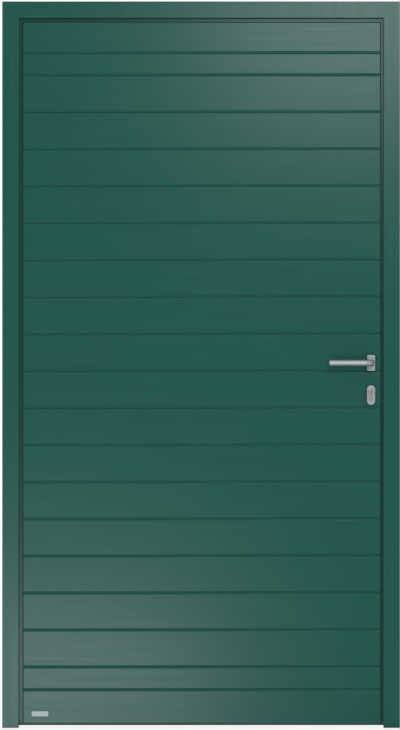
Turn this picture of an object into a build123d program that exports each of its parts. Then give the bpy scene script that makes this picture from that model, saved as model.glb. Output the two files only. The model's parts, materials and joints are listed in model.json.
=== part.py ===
from build123d import *
import os

# A front door leaf in its three-sided frame, in millimetres.
# The outside faces -Y, X runs to the right seen from outside, Z is up.
# The origin is on the floor, in the middle of the frame's width and depth.

# Frame, overall
frame_width = 1150
frame_height = 2100
frame_depth = 60

# Frame profile: a hollow box against the wall, with a stop lip at its front edge
box_width = 27
lip_width = 21
lip_thickness = 9
frame_wall = 2
arris_radius = 1.2
seal_slot_in = 14
seal_neck = 3
seal_cavity = 6
seal_neck_depth = 1.2
seal_cavity_depth = 2.8

# Gaps between frame and leaf
side_gap = 9
skin_shift = 2
head_gap = 11
floor_gap = 11
face_recess = 3
rebate_air = 8
seal_space = 6
seal_clearance = 0.3

# Leaf
stile_width = 90
stile_depth = 42
stile_wall = 2
skin_thickness = 1
glue_gap = 0.2
skin_arris = 3
inner_recess = 11
bead_width = 18
bead_wall = 1.4
bead_step = 3
bead_slope = 8
carrier_height = 7
carrier_wall = 1.5
carrier_depth = 30
lip_seal_drop = 6
lip_seal_width = 9
edge_seal_depth = 7
edge_seal_root = 3
edge_seal_fin = 2

# Boards of the leaf's face, from the top, between grooves
top_board = 89
upper_board = 64
lower_board = 66
bottom_board = 99
regular_boards = 16
groove_depth = 3
groove_radius = 2.4

# Corner cleats
cleat_leg = 60
cleat_clearance = 0.3

# Wall fixings through the jambs, the end ones at the same distance from both ends
fixing_hole_radius = 5.25
end_fixing_height = 150
mid_fixing_spacing = 600
fixing_y = 5
foot_plug_height = 25

# Hinges
hinge_height = 111
lowest_hinge = 240
hinge_spacing = 805
highest_hinge_drop = 250
barrel_radius = 10
pin_radius = 5
bush_radius = 7
pin_fit = 0.03
bush_fit = 0.05
knuckle_gap = 0.5
axis_outside_leaf = 5
axis_behind_leaf = 14
leaf_wing_thickness = 5
leaf_wing_width = 37
frame_wing_thickness = 4.5
wing_corner_radius = 3
pin_head_height = 4
hinge_screw_count = 3
hinge_screw_spacing = 40

# Screws
hinge_screw_radius = 2.5
hinge_screw_length = 15
small_screw_radius = 2
small_screw_length = 15
screw_fit = 0.05
head_ratio = 1.9
head_height_ratio = 0.9

# Lock
lock_height = 1055
cylinder_drop = 85
backset = 52
case_depth = 77
case_height = 180
case_thickness = 16
case_wall = 1.6
case_centre_drop = 40
case_clearance = 0.3
forend_width = 24
forend_height = 245
forend_thickness = 3
forend_drop = 45
strike_thickness = 3
strike_window_clearance = 2
bolt_clearance = 0.3
guide_length = 12
guide_thickness = 3
bolt_thickness = 11

# Follower and latch
follower_radius = 10.5
follower_boss_radius = 8
follower_fit = 0.05
follower_gap = 0.2
arm_reach = 20
arm_width = 6
spindle_size = 8
spindle_fit = 0.1
latch_travel = 12
latch_rise = 18
latch_height = 22
latch_head_length = 30
latch_tail_gap = 1
latch_tail_height = 8
lug_thickness = 5
lug_gap = 1.2
lug_length = 8.5

# Deadbolt
deadbolt_rise = 33
deadbolt_height = 22
deadbolt_length = 60

# Profile cylinder
cylinder_radius = 8.5
cylinder_web = 10
cylinder_height = 33
cylinder_proud = 1
cylinder_fit = 0.4
plug_radius = 6.5
plug_fit = 0.05
cam_width = 10
cam_gap = 0.1
cam_reach = 15
cam_hub_radius = 8
cam_nose_width = 8
keyway_width = 2
keyway_height = 9
keyway_depth = 25
cylinder_screw_drop = 20.2
cylinder_screw_radius = 2.5

# Handle furniture
rose_width = 24.5
rose_height = 47
escutcheon_width = 25
escutcheon_height = 58
rose_thickness = 8
rose_wall = 1.5
rose_corner = 4
escutcheon_edge = 2
base_thickness = 2.5
base_fit = 0.1
rose_screw_spacing = 34
escutcheon_screw_spacing = 46
spindle_hole_radius = 11
lever_radius = 9.25
lever_fit = 0.1
lever_reach = 48
lever_bend = 20
lever_length = 123
lever_tip_radius = 3
neck_start = 3
socket_depth = 24
grub_radius = 2.5
grub_length = 4
grub_in = 6
grub_hole_depth = 6

# Places that follow from the sizes
half_width = frame_width / 2
front_y = -frame_depth / 2
back_y = frame_depth / 2
lip_back_y = front_y + lip_thickness
frame_face = box_width + lip_width
box_inner_x = half_width - box_width
skin_edge_x = half_width - frame_face - side_gap
leaf_edge_x = box_inner_x - rebate_air
leaf_front_y = lip_back_y + seal_space
leaf_back_y = leaf_front_y + stile_depth
skin_front_y = front_y + face_recess
skin_top_z = frame_height - frame_face - head_gap
skin_bottom_z = floor_gap
leaf_top_z = frame_height - box_width - rebate_air
leaf_bottom_z = skin_bottom_z + carrier_height
inner_face_y = leaf_back_y - inner_recess
opening_x = leaf_edge_x - stile_width
opening_bottom_z = leaf_bottom_z + stile_width
opening_top_z = leaf_top_z - stile_width
hinge_axis_x = -leaf_edge_x - axis_outside_leaf
hinge_axis_y = leaf_back_y + axis_behind_leaf
hinge_heights = {
    "lower": lowest_hinge,
    "middle": lowest_hinge + hinge_spacing,
    "upper": frame_height - highest_hinge_drop,
}
lock_y = (leaf_front_y + leaf_back_y) / 2
forend_back_x = leaf_edge_x
forend_front_x = leaf_edge_x + forend_thickness
strike_front_x = box_inner_x - strike_thickness
spindle_x = forend_front_x - backset
cylinder_z = lock_height - cylinder_drop
case_back_x = leaf_edge_x - case_depth
case_front_y = lock_y - case_thickness / 2
case_back_y = lock_y + case_thickness / 2
case_centre_z = lock_height - case_centre_drop
case_bottom_z = case_centre_z - case_height / 2
case_top_z = case_centre_z + case_height / 2
forend_centre_z = lock_height - forend_drop
latch_z = lock_height + latch_rise
deadbolt_z = cylinder_z + deadbolt_rise
escutcheon_z = cylinder_z + cylinder_radius - cylinder_height / 2
cylinder_screw_z = cylinder_z - cylinder_screw_drop

parts = {}


# Helpers

def block(x, y, z):
    """A box from its ranges along X, Y and Z."""
    size = (x[1] - x[0], y[1] - y[0], z[1] - z[0])
    return Pos(x[0], y[0], z[0]) * Box(*size, align=(Align.MIN, Align.MIN, Align.MIN))


def along_x(sketch, x0, x1):
    """A sketch in (Y, Z) drawn out from x0 to x1."""
    return Pos(x0, 0, 0) * extrude(Plane.YZ * sketch, amount=x1 - x0)


def along_y(sketch, y0, y1):
    """A sketch in (X, Z) drawn out from y0 to y1."""
    return Pos(0, y1, 0) * extrude(Plane.XZ * sketch, amount=y1 - y0)


def along_z(sketch, z0, z1):
    """A sketch in (X, Y) drawn out from z0 to z1."""
    return Pos(0, 0, z0) * extrude(Plane.XY * sketch, amount=z1 - z0)


def area(*points):
    """A flat area inside straight lines through the points."""
    return make_face(Polyline(*points, close=True))


def span(u, v):
    """A flat rectangle from its two ranges."""
    return Pos((u[0] + u[1]) / 2, (v[0] + v[1]) / 2) * Rectangle(u[1] - u[0], v[1] - v[0])


def around(centre, size):
    """The range of a size centred on a place."""
    return (centre - size / 2, centre + size / 2)


def corners_of(sketch, *places):
    """The corners of a sketch at the given places."""
    return [v for v in sketch.vertices() if any(abs(v.X - p[0]) + abs(v.Y - p[1]) < 0.01 for p in places)]


def rounded(sketch, radius, *places):
    """The sketch with the corners at the given places rounded."""
    return fillet(corners_of(sketch, *places), radius)


def ring_member(side, section, edge_x, bottom_z, top_z, starts_square=False):
    """One mitred member of a rectangular frame.

    The section's first coordinate runs inward from the outer edge, its second is Y.
    """
    sides = {
        "left": ((-edge_x, 0, bottom_z), (1, 0, 0), (0, 0, 1), top_z - bottom_z),
        "right": ((edge_x, 0, top_z), (-1, 0, 0), (0, 0, -1), top_z - bottom_z),
        "top": ((-edge_x, 0, top_z), (0, 0, -1), (1, 0, 0), 2 * edge_x),
        "bottom": ((edge_x, 0, bottom_z), (0, 0, 1), (-1, 0, 0), 2 * edge_x),
    }
    origin, inward, direction, length = sides[side]
    member = extrude(section, amount=length)
    if not (starts_square and side == "left"):
        member = split(member, bisect_by=Plane((0, 0, 0), z_dir=(-1, 0, 1)), keep=Keep.TOP)
    if not (starts_square and side == "right"):
        member = split(member, bisect_by=Plane((0, 0, length), z_dir=(-1, 0, -1)), keep=Keep.TOP)
    return Plane(origin=origin, x_dir=inward, z_dir=direction) * member


def screw(radius, length):
    """A countersunk screw along Z, its flat head at zero and its shank below."""
    head_height = radius * head_height_ratio
    head = Pos(0, 0, -head_height / 2) * Cone(radius, radius * head_ratio, head_height)
    shank = Pos(0, 0, -length / 2) * Cylinder(radius, length)
    return head + shank


def screw_hole(radius, length):
    """The clearance for a countersunk screw, a little wider all round."""
    head_height = radius * head_height_ratio
    wide = radius + screw_fit
    head = Pos(0, 0, -head_height / 2) * Cone(wide, radius * head_ratio + screw_fit, head_height)
    return head + Pos(0, 0, -length / 2) * Cylinder(wide, length + screw_fit)


# Frame

def frame_section():
    """The jamb and head profile, hollow, with a slot for the stop seal behind the lip."""
    outline = area(
        (0, front_y),
        (frame_face, front_y),
        (frame_face, lip_back_y),
        (box_width, lip_back_y),
        (box_width, back_y),
        (0, back_y),
    )
    outline = rounded(outline, arris_radius, (0, front_y), (frame_face, front_y), (frame_face, lip_back_y))
    slot_u = box_width + seal_slot_in
    neck_y = lip_back_y - seal_neck_depth
    front_chamber_end = slot_u - seal_cavity / 2 - frame_wall
    main_chamber = span((frame_wall, box_width - frame_wall), (lip_back_y, back_y - frame_wall))
    front_chamber = span((frame_wall, front_chamber_end), (front_y + frame_wall, lip_back_y - frame_wall))
    slot = span(around(slot_u, seal_neck), (neck_y, lip_back_y))
    slot += span(around(slot_u, seal_cavity), (neck_y - seal_cavity_depth, neck_y))
    return outline - main_chamber - front_chamber - slot


def stop_seal_section():
    """A hollow bulb on a foot that is held in the slot."""
    slot_u = box_width + seal_slot_in
    bulb_radius = (seal_space - seal_clearance) / 2
    bulb_y = lip_back_y + bulb_radius
    neck_y = lip_back_y - seal_neck_depth
    foot_y = neck_y - seal_cavity_depth
    bulb = Pos(slot_u, bulb_y) * (Circle(bulb_radius) - Circle(bulb_radius / 2))
    neck = span(around(slot_u, seal_neck - cleat_clearance), (neck_y, lip_back_y + bulb_radius / 3))
    foot = span(around(slot_u, seal_cavity - cleat_clearance), (foot_y + cleat_clearance, neck_y))
    return bulb + neck + foot


fixing_heights = [
    end_fixing_height,
    *around(frame_height / 2, mid_fixing_spacing),
    frame_height - end_fixing_height,
]


def wall_fixing_holes(side):
    """Clearance holes through both walls of a jamb's box, along X."""
    x = sorted((side * (box_inner_x - 1), side * (half_width + 1)))
    return [along_x(Pos(fixing_y, z) * Circle(fixing_hole_radius), *x) for z in fixing_heights]


section = frame_section()
jambs = {
    side: ring_member(side, section, half_width, 0, frame_height, starts_square=True) - wall_fixing_holes(sign)
    for side, sign in (("left", -1), ("right", 1))
}
parts["frame_head"] = ring_member("top", section, half_width, 0, frame_height)

chamber_y = (lip_back_y + cleat_clearance, back_y - frame_wall - cleat_clearance)
chamber_u = (frame_wall + cleat_clearance, box_width - frame_wall - cleat_clearance)


def corner_cleat(edge_x, edge_z, u, y, side, up):
    """An L-shaped cleat that fills the chambers of two mitred members at a corner."""
    outer_x = side * (edge_x - u[0])
    inner_x = side * (edge_x - u[1])
    end_x = side * (edge_x - cleat_leg)
    outer_z = edge_z - up * u[0]
    inner_z = edge_z - up * u[1]
    end_z = edge_z - up * cleat_leg
    outline = area(
        (outer_x, outer_z),
        (end_x, outer_z),
        (end_x, inner_z),
        (inner_x, inner_z),
        (inner_x, end_z),
        (outer_x, end_z),
    )
    return along_y(outline, *y)


parts["frame_corner_cleats"] = Compound(
    [corner_cleat(half_width, frame_height, chamber_u, chamber_y, side, 1) for side in (-1, 1)]
)

seal_section = stop_seal_section()
for side, name in (("left", "hinge_jamb_seal"), ("right", "lock_jamb_seal"), ("top", "head_seal")):
    parts[name] = ring_member(side, seal_section, half_width, 0, frame_height, starts_square=side != "top")

foot_plug_x = (half_width - chamber_u[1], half_width - chamber_u[0])
right_foot_plug = block(foot_plug_x, chamber_y, (0, foot_plug_height))
parts["jamb_foot_plugs"] = Compound([right_foot_plug, mirror(right_foot_plug, about=Plane.YZ)])


# Strike plate

bolt_y = around(lock_y, bolt_thickness)


def bolt_window(centre_z, height, clearance):
    """The opening for a bolt, as a sketch in (Y, Z)."""
    return Pos(lock_y, centre_z) * Rectangle(bolt_thickness + 2 * clearance, height + 2 * clearance)


plate_outline = Pos(lock_y, forend_centre_z) * RectangleRounded(forend_width, forend_height, rose_corner)
plate_screw_heights = around(forend_centre_z, forend_height - forend_width)
strike_windows = bolt_window(latch_z, latch_height, strike_window_clearance)
strike_windows += bolt_window(deadbolt_z, deadbolt_height, strike_window_clearance)
strike_plate = along_x(plate_outline, strike_front_x, box_inner_x)
strike_plate -= along_x(strike_windows, strike_front_x - 1, box_inner_x + 1)
strike_screw_places = [Pos(strike_front_x, lock_y, z) * Rot(Y=-90) for z in plate_screw_heights]
strike_holes = [place * screw_hole(small_screw_radius, small_screw_length) for place in strike_screw_places]
parts["strike_plate"] = strike_plate - strike_holes
parts["strike_screws"] = Compound(
    [place * screw(small_screw_radius, small_screw_length) for place in strike_screw_places]
)
jambs["right"] -= along_x(strike_windows, box_inner_x - 1, box_inner_x + frame_wall + 1)
jambs["right"] -= strike_holes


# Hinges

def hinge_screws_at(wing_x, face_y, centre_z, make):
    """Screws through a wing into the member behind it, heads towards +Y."""
    heights = [centre_z + (i - (hinge_screw_count - 1) / 2) * hinge_screw_spacing for i in range(hinge_screw_count)]
    return [Pos(wing_x, face_y, z) * Rot(X=-90) * make(hinge_screw_radius, hinge_screw_length) for z in heights]


knuckle_height = (hinge_height - 2 * knuckle_gap) / 3
frame_wing_face_y = back_y + frame_wing_thickness
leaf_wing_face_y = leaf_back_y + leaf_wing_thickness
frame_wing_x = (-half_width + arris_radius, hinge_axis_x - barrel_radius - knuckle_gap)
leaf_wing_x = (hinge_axis_x + barrel_radius + knuckle_gap, hinge_axis_x + barrel_radius + leaf_wing_width)
frame_screw_x = (frame_wing_x[0] + frame_wing_x[1]) / 2
leaf_screw_x = (leaf_wing_x[0] + leaf_wing_x[1] + wing_corner_radius) / 2


def knuckle(z_range, bore_radius, wing_x, wing_y):
    """A knuckle with the web that joins it to its wing, in place on the hinge axis."""
    direction = 1 if wing_x[0] > hinge_axis_x else -1
    near_x = wing_x[0] if direction > 0 else wing_x[1]
    web = area(
        (hinge_axis_x, hinge_axis_y - barrel_radius * 0.6),
        (hinge_axis_x + direction * barrel_radius * 0.7, wing_y[0]),
        (near_x + direction * wing_corner_radius, wing_y[0]),
        (near_x + direction * wing_corner_radius, wing_y[1]),
        (hinge_axis_x + direction * barrel_radius * 0.9, hinge_axis_y),
    )
    barrel = Pos(hinge_axis_x, hinge_axis_y) * Circle(barrel_radius)
    bore = Pos(hinge_axis_x, hinge_axis_y) * Circle(bore_radius)
    return along_z(barrel + web - bore, *z_range)


def wing(x, y, z_range, free_end):
    """The flat plate of a wing, with its free corners rounded."""
    plate = block(x, y, z_range)
    return fillet(plate.edges().filter_by(Axis.Y).group_by(Axis.X)[free_end], wing_corner_radius)


frame_screws = []
leaf_screws = []
hinge_bushes = []
frame_screw_holes = []
leaf_screw_holes = []
for name, height in hinge_heights.items():
    full = around(height, hinge_height)
    middle = around(height, knuckle_height)
    frame_wing = wing(frame_wing_x, (back_y, frame_wing_face_y), full, 0)
    for z_range in ((full[0], full[0] + knuckle_height), (full[1] - knuckle_height, full[1])):
        frame_wing += knuckle(z_range, pin_radius + pin_fit, frame_wing_x, (back_y, frame_wing_face_y))
    leaf_wing = wing(leaf_wing_x, (leaf_back_y, leaf_wing_face_y), full, -1)
    leaf_wing += knuckle(middle, bush_radius, leaf_wing_x, (leaf_back_y, leaf_wing_face_y))
    frame_holes = hinge_screws_at(frame_screw_x, frame_wing_face_y, height, screw_hole)
    leaf_holes = hinge_screws_at(leaf_screw_x, leaf_wing_face_y, height, screw_hole)
    parts[f"{name}_hinge_frame_wing"] = frame_wing - frame_holes
    parts[f"{name}_hinge_leaf_wing"] = leaf_wing - leaf_holes
    frame_screws += hinge_screws_at(frame_screw_x, frame_wing_face_y, height, screw)
    leaf_screws += hinge_screws_at(leaf_screw_x, leaf_wing_face_y, height, screw)
    frame_screw_holes += frame_holes
    leaf_screw_holes += leaf_holes
    axis = Pos(hinge_axis_x, hinge_axis_y)
    hinge_bushes.append(
        along_z(axis * (Circle(bush_radius - pin_fit) - Circle(pin_radius + bush_fit)), *middle)
    )
    pin = along_z(axis * Circle(pin_radius), full[0], full[1])
    pin_head = along_z(axis * Circle(barrel_radius), full[1], full[1] + pin_head_height)
    pin_head = fillet(pin_head.edges().group_by(Axis.Z)[-1], pin_head_height / 2)
    parts[f"{name}_hinge_pin"] = pin + pin_head

parts["hinge_bushes"] = Compound(hinge_bushes)
parts["frame_hinge_screws"] = Compound(frame_screws)
parts["leaf_hinge_screws"] = Compound(leaf_screws)
parts["hinge_jamb"] = jambs["left"] - frame_screw_holes
parts["lock_jamb"] = jambs["right"]


# Leaf frame

def tube_section(width, y, wall):
    """A hollow rectangular profile."""
    return span((0, width), y) - span((wall, width - wall), (y[0] + wall, y[1] - wall))


leaf_section = tube_section(stile_width, (leaf_front_y, leaf_back_y), stile_wall)
leaf_members = {
    side: ring_member(side, leaf_section, leaf_edge_x, leaf_bottom_z, leaf_top_z)
    for side in ("left", "right", "top", "bottom")
}
leaf_cleat_u = (stile_wall + cleat_clearance, stile_width / 3)
leaf_cleat_y = (leaf_front_y + stile_wall + cleat_clearance, leaf_back_y - stile_wall - cleat_clearance)
parts["leaf_corner_cleats"] = Compound(
    [corner_cleat(leaf_edge_x, edge_z, leaf_cleat_u, leaf_cleat_y, side, up)
     for side in (-1, 1) for edge_z, up in ((leaf_bottom_z, -1), (leaf_top_z, 1))]
)


# Lock openings, shared by all that the lock and its furniture pass through

def cylinder_outline(clearance):
    """The profile cylinder's outline in (X, Z), wider by a clearance."""
    end_radius = cylinder_web / 2
    web_height = cylinder_height - cylinder_radius - end_radius
    round_part = Pos(spindle_x, cylinder_z) * Circle(cylinder_radius + clearance)
    web = span(around(spindle_x, cylinder_web + 2 * clearance), (cylinder_z - web_height, cylinder_z))
    end = Pos(spindle_x, cylinder_z - web_height) * Circle(end_radius + clearance)
    return round_part + web + end


spindle_hole = Pos(spindle_x, lock_height) * Circle(spindle_hole_radius)
through_openings = along_y(spindle_hole + cylinder_outline(cylinder_fit), skin_front_y - 1, leaf_back_y + 1)
case_pocket = block(
    (leaf_edge_x - stile_wall - 1, leaf_edge_x + 1),
    around(lock_y, case_thickness + 2 * case_clearance),
    around(case_centre_z, case_height + 2 * case_clearance),
)

furniture_screw_heights = [
    *around(lock_height, rose_screw_spacing),
    *around(escutcheon_z, escutcheon_screw_spacing),
]


def furniture_screws(make):
    """Screws of the four bases: outside heads towards -Y, inside heads towards +Y."""
    made = []
    for z in furniture_screw_heights:
        made.append(Pos(spindle_x, skin_front_y - base_thickness, z) * Rot(X=90) * make(small_screw_radius, outer_screw))
        made.append(Pos(spindle_x, leaf_back_y + base_thickness, z) * Rot(X=-90) * make(small_screw_radius, inner_screw))
    return made


outer_screw = base_thickness + leaf_front_y - skin_front_y + 2 * stile_wall
inner_screw = base_thickness + 3 * stile_wall
furniture_holes = furniture_screws(screw_hole)
forend_screw_places = [Pos(forend_front_x, lock_y, z) * Rot(Y=90) for z in plate_screw_heights]
forend_holes = [place * screw_hole(small_screw_radius, small_screw_length) for place in forend_screw_places]

parts["hinge_stile"] = leaf_members["left"] - leaf_screw_holes
parts["lock_stile"] = leaf_members["right"] - through_openings - case_pocket - furniture_holes - forend_holes
parts["top_rail"] = leaf_members["top"]
parts["bottom_rail"] = leaf_members["bottom"]


# Leaf skins and core

regular_height = skin_top_z - skin_bottom_z - top_board - upper_board - lower_board - bottom_board
board_pitch = regular_height / regular_boards
board_heights = [top_board, upper_board] + [board_pitch] * regular_boards + [lower_board]
groove_heights = [skin_top_z - sum(board_heights[:i + 1]) for i in range(len(board_heights))]
groove_apex = groove_depth + groove_radius * (2 ** 0.5 - 1)


def grooved_form(offset, back, is_sheet=True):
    """The leaf's face as a solid down to a depth, inside its surface by an offset.

    The grooves are V-shaped, and pressed sheet has round bottoms and round shoulders there.
    """
    face = skin_front_y + offset
    apex = skin_front_y + groove_apex + offset * 2 ** 0.5
    half_mouth = apex - face
    points = [(back, skin_top_z - offset), (face, skin_top_z - offset)]
    shoulders = []
    bottoms = []
    for z in groove_heights:
        shoulders += [(face, z + half_mouth), (face, z - half_mouth)]
        bottoms.append((apex, z))
        points += [(face, z + half_mouth), (apex, z), (face, z - half_mouth)]
    points += [(face, skin_bottom_z + offset), (back, skin_bottom_z + offset)]
    side_view = area(*points)
    if is_sheet:
        side_view = rounded(side_view, groove_radius + offset, *bottoms)
        side_view = rounded(side_view, groove_radius - offset, *shoulders)
    edges = (skin_shift - skin_edge_x + offset, skin_shift + skin_edge_x - offset)
    top_view = span(edges, (face, back))
    arris = skin_arris - offset * (2 - 2 ** 0.5)
    top_view = chamfer(corners_of(top_view, (edges[0], face), (edges[1], face)), arris)
    return along_x(side_view, *edges) & along_z(top_view, skin_bottom_z, skin_top_z)


outer_skin = grooved_form(0, leaf_front_y) - grooved_form(skin_thickness, leaf_front_y + 1)
parts["outer_skin"] = outer_skin - through_openings - furniture_holes

core_back_y = inner_face_y - skin_thickness
core_x = (-opening_x + glue_gap, opening_x - glue_gap)
core_z = (opening_bottom_z + glue_gap, opening_top_z - glue_gap)
foam_core = grooved_form(skin_thickness + glue_gap, leaf_front_y, is_sheet=False)
foam_core += block(core_x, (leaf_front_y, core_back_y), core_z)
parts["foam_core"] = foam_core - through_openings - furniture_holes
parts["inner_skin"] = block(core_x, (core_back_y, inner_face_y), core_z)

bead_outline = area(
    (0, inner_face_y),
    (bead_width, inner_face_y),
    (bead_width, inner_face_y + bead_step),
    (bead_width - bead_slope, leaf_back_y),
    (0, leaf_back_y),
)
bead_section = bead_outline - offset(bead_outline, -bead_wall)
bead_names = {"left": "hinge_side_bead", "right": "lock_side_bead", "top": "top_bead", "bottom": "bottom_bead"}
for side, name in bead_names.items():
    parts[name] = ring_member(side, bead_section, opening_x, opening_bottom_z, opening_top_z)


# Leaf seals

edge_seal_reach = rebate_air - 2 * seal_clearance
edge_seal_y = (leaf_back_y - edge_seal_depth, leaf_back_y)
edge_seal_section = area(
    (-edge_seal_root, edge_seal_y[0]),
    (-edge_seal_reach, edge_seal_y[0] + edge_seal_fin),
    (-edge_seal_reach, edge_seal_y[1] - edge_seal_fin),
    (-edge_seal_root, edge_seal_y[1] - edge_seal_fin),
    (-edge_seal_root, edge_seal_y[1]),
    (0, edge_seal_y[1]),
    (0, edge_seal_y[0]),
)


def edge_seal_member(side):
    """A bar of the edge seal, whose section lies outside the leaf's edge."""
    moved = Pos(edge_seal_reach, 0) * edge_seal_section
    outer_x = leaf_edge_x + edge_seal_reach
    return ring_member(side, moved, outer_x, leaf_bottom_z, leaf_top_z + edge_seal_reach, side != "top")


parts["leaf_edge_seal"] = edge_seal_member("left") + edge_seal_member("top") + edge_seal_member("right")

carrier_y = around(leaf_front_y + stile_depth / 2, carrier_depth)
carrier_x = (-leaf_edge_x, leaf_edge_x)
slot_y = around(carrier_y[0] + carrier_depth / 2, lip_seal_width)
carrier_section = span(carrier_y, (skin_bottom_z, leaf_bottom_z))
carrier_section -= span(slot_y, (skin_bottom_z, leaf_bottom_z - carrier_wall))
parts["bottom_seal_carrier"] = along_x(carrier_section, *carrier_x)
lip_tip_z = skin_bottom_z - lip_seal_drop
lip_base_z = leaf_bottom_z - carrier_wall
lip_width = (lip_seal_width - 2 * cleat_clearance) / 3
lip_section = span((slot_y[0] + cleat_clearance, slot_y[1] - cleat_clearance), (skin_bottom_z, lip_base_z))
for y in (slot_y[0] + cleat_clearance, slot_y[1] - cleat_clearance - lip_width):
    lip_section += span((y, y + lip_width), (lip_tip_z, skin_bottom_z))
parts["bottom_seal"] = along_x(lip_section, *carrier_x)


# Mortise lock

cavity_y = (case_front_y + case_wall, case_back_y - case_wall)
follower_y = (case_front_y, case_back_y)
boss_hole = Pos(spindle_x, lock_height) * Circle(follower_boss_radius + follower_fit)
lock_holes = along_y(boss_hole + cylinder_outline(cylinder_fit), case_front_y - 1, case_back_y + 1)
tray = block((case_back_x, leaf_edge_x), (case_front_y, cavity_y[1]), (case_bottom_z, case_top_z))
tray -= block(
    (case_back_x + case_wall, leaf_edge_x + 1),
    (cavity_y[0], case_back_y),
    (case_bottom_z + case_wall, case_top_z - case_wall),
)
latch_head_x = forend_front_x + latch_travel
latch_tail_z = lock_height + arm_reach + latch_tail_gap
latch_ranges = {
    "head": around(latch_z, latch_height),
    "tail": (latch_tail_z, latch_tail_z + latch_tail_height),
}
deadbolt_range = around(deadbolt_z, deadbolt_height)
guide_edges = [
    (latch_ranges["head"][0] - bolt_clearance, -1),
    (latch_ranges["head"][1] + bolt_clearance, 1),
    (deadbolt_range[0] - bolt_clearance, -1),
    (deadbolt_range[1] + bolt_clearance, 1),
]
for edge, direction in guide_edges:
    z = sorted((edge, edge + direction * guide_thickness))
    tray += block((leaf_edge_x - guide_length, leaf_edge_x), cavity_y, z)
parts["lock_case"] = tray - lock_holes
cover = block((case_back_x, leaf_edge_x), (cavity_y[1], case_back_y), (case_bottom_z, case_top_z))
parts["lock_cover"] = cover - lock_holes

forend_windows = bolt_window(latch_z, latch_height, bolt_clearance)
forend_windows += bolt_window(deadbolt_z, deadbolt_height, bolt_clearance)
cylinder_screw_place = Pos(forend_front_x, lock_y, cylinder_screw_z) * Rot(Y=90)
cylinder_screw_length = forend_front_x - spindle_x + cylinder_web / 4
cylinder_screw_cut = cylinder_screw_place * screw_hole(cylinder_screw_radius, cylinder_screw_length)
forend = along_x(plate_outline, forend_back_x, forend_front_x)
forend -= along_x(forend_windows, forend_back_x - 1, forend_front_x + 1)
parts["lock_forend"] = forend - forend_holes - cylinder_screw_cut
parts["forend_screws"] = Compound(
    [place * screw(small_screw_radius, small_screw_length) for place in forend_screw_places]
)
parts["cylinder_screw"] = cylinder_screw_place * screw(cylinder_screw_radius, cylinder_screw_length)


# Follower, spindle and latch

def square_hole(size):
    return Pos(spindle_x, lock_height) * Rectangle(size, size)


follower_disc_y = (cavity_y[0] + follower_gap, cavity_y[1] - follower_gap)
follower = along_y(Pos(spindle_x, lock_height) * Circle(follower_radius), *follower_disc_y)
arm = span(around(spindle_x, arm_width), (lock_height, lock_height + arm_reach))
follower += along_y(arm, *follower_disc_y)
follower += along_y(Pos(spindle_x, lock_height) * Circle(follower_boss_radius), *follower_y)
follower -= along_y(square_hole(spindle_size + 2 * spindle_fit), case_front_y - 1, case_back_y + 1)
parts["follower"] = follower

latch_head = block((latch_head_x - latch_head_length, latch_head_x), bolt_y, latch_ranges["head"])
bevel = area(
    (latch_head_x, bolt_y[0]),
    (latch_head_x - bolt_thickness, bolt_y[0]),
    (latch_head_x, bolt_y[1]),
)
latch_head -= along_z(bevel, latch_ranges["head"][0] - 1, latch_ranges["head"][1] + 1)
lug_front_x = spindle_x - arm_width / 2 - lug_gap
lug_x = (lug_front_x - lug_thickness, lug_front_x)
lug_z = (latch_tail_z - lug_length, latch_tail_z)
latch_tail = block((lug_x[0], latch_head_x - latch_head_length), bolt_y, latch_ranges["tail"])
lug = block(lug_x, bolt_y, lug_z)
parts["latch_bolt"] = latch_head + latch_tail + lug

deadbolt_x = (forend_front_x - deadbolt_length, forend_front_x)
deadbolt = block(deadbolt_x, bolt_y, deadbolt_range)
parts["deadbolt"] = fillet(deadbolt.edges().filter_by(Axis.Y).group_by(Axis.X)[0], case_wall)


# Profile cylinder

outer_end_y = skin_front_y - rose_thickness - cylinder_proud
inner_end_y = leaf_back_y + rose_thickness + cylinder_proud
cam_y = around(lock_y, cam_width)
body = along_y(cylinder_outline(0), outer_end_y, inner_end_y)
body -= along_y(Pos(spindle_x, cylinder_z) * Circle(plug_radius + plug_fit), outer_end_y - 1, inner_end_y + 1)
cam_slot_bottom = cylinder_z - cam_reach - bolt_clearance
body -= block(
    around(spindle_x, 3 * cylinder_radius),
    (cam_y[0] - cam_gap, cam_y[1] + cam_gap),
    (cam_slot_bottom, cylinder_z + 2 * cylinder_radius),
)
parts["cylinder_body"] = body - cylinder_screw_cut

keyway = Pos(spindle_x, cylinder_z) * Rectangle(keyway_width, keyway_height)
plugs = {
    "outer_plug": ((outer_end_y, cam_y[0]), (outer_end_y - 1, outer_end_y + keyway_depth)),
    "inner_plug": ((cam_y[1], inner_end_y), (inner_end_y - keyway_depth, inner_end_y + 1)),
}
for name, (plug_range, key_range) in plugs.items():
    plug = along_y(Pos(spindle_x, cylinder_z) * Circle(plug_radius), *plug_range)
    parts[name] = plug - along_y(keyway, *key_range)
cam_outline = Pos(spindle_x, cylinder_z) * Circle(cam_hub_radius)
nose_radius = cam_nose_width / 2
nose_z = cylinder_z - cam_reach + nose_radius
cam_outline += span(around(spindle_x, cam_nose_width), (nose_z, cylinder_z))
cam_outline += Pos(spindle_x, nose_z) * Circle(nose_radius)
parts["lock_cam"] = along_y(cam_outline, cam_y[0], cam_y[1])


# Roses, escutcheons and their bases

def furniture_outline(kind, inset):
    """The outline of a rose or an escutcheon in (X, Z), smaller by an inset."""
    if kind == "rose":
        shape = RectangleRounded(rose_width - 2 * inset, rose_height - 2 * inset, rose_corner - inset)
        return Pos(spindle_x, lock_height) * shape
    width = escutcheon_width - 2 * inset
    shape = Rot(Z=90) * SlotOverall(escutcheon_height - 2 * inset, width)
    return Pos(spindle_x, escutcheon_z) * shape


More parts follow.
